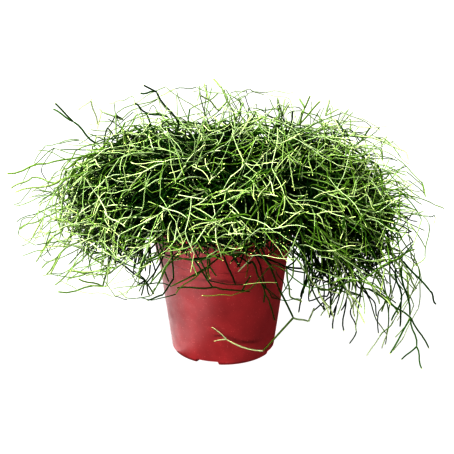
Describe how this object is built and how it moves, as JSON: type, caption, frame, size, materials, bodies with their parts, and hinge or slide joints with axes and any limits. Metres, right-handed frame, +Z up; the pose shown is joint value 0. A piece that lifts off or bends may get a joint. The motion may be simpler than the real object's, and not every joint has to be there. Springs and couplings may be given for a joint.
{
  "type": "potted mistletoe cactus",
  "caption": "Thin-stemmed mistletoe cactus: a dome of forking green stems that spills over the rim of a plain tapered plastic nursery pot filled with soil.",
  "frame": {"origin": "on the pot's axis, at the surface that the pot's feet stand on", "axes": "+Z up along the pot's axis, +X to the right towards the trailing spray, +Y to the back"},
  "size_m": [0.3603, 0.3164, 0.228],
  "materials": {
    "pot_plastic": "satin brick-red moulded plastic",
    "soil": "dark crumbly potting compost",
    "stem_bright": "smooth waxy yellow-green stem",
    "stem_mid": "smooth waxy mid-green stem",
    "stem_deep": "smooth waxy blue-green stem"
  },
  "bodies": {
    "root": {"pot": "pot_plastic", "soil": "soil", "stem_clump_01": "stem_bright", "stem_clump_02": "stem_mid", "stem_clump_03": "stem_deep", "stem_clump_04": "stem_bright", "stem_clump_05": "stem_mid", "stem_clump_06": "stem_deep", "stem_clump_07": "stem_bright", "stem_clump_08": "stem_mid", "stem_clump_09": "stem_deep", "stem_clump_10": "stem_bright", "stem_clump_11": "stem_mid", "stem_clump_12": "stem_deep", "stem_clump_13": "stem_bright", "stem_clump_14": "stem_mid", "stem_clump_15": "stem_deep"}
  },
  "joints": []
}
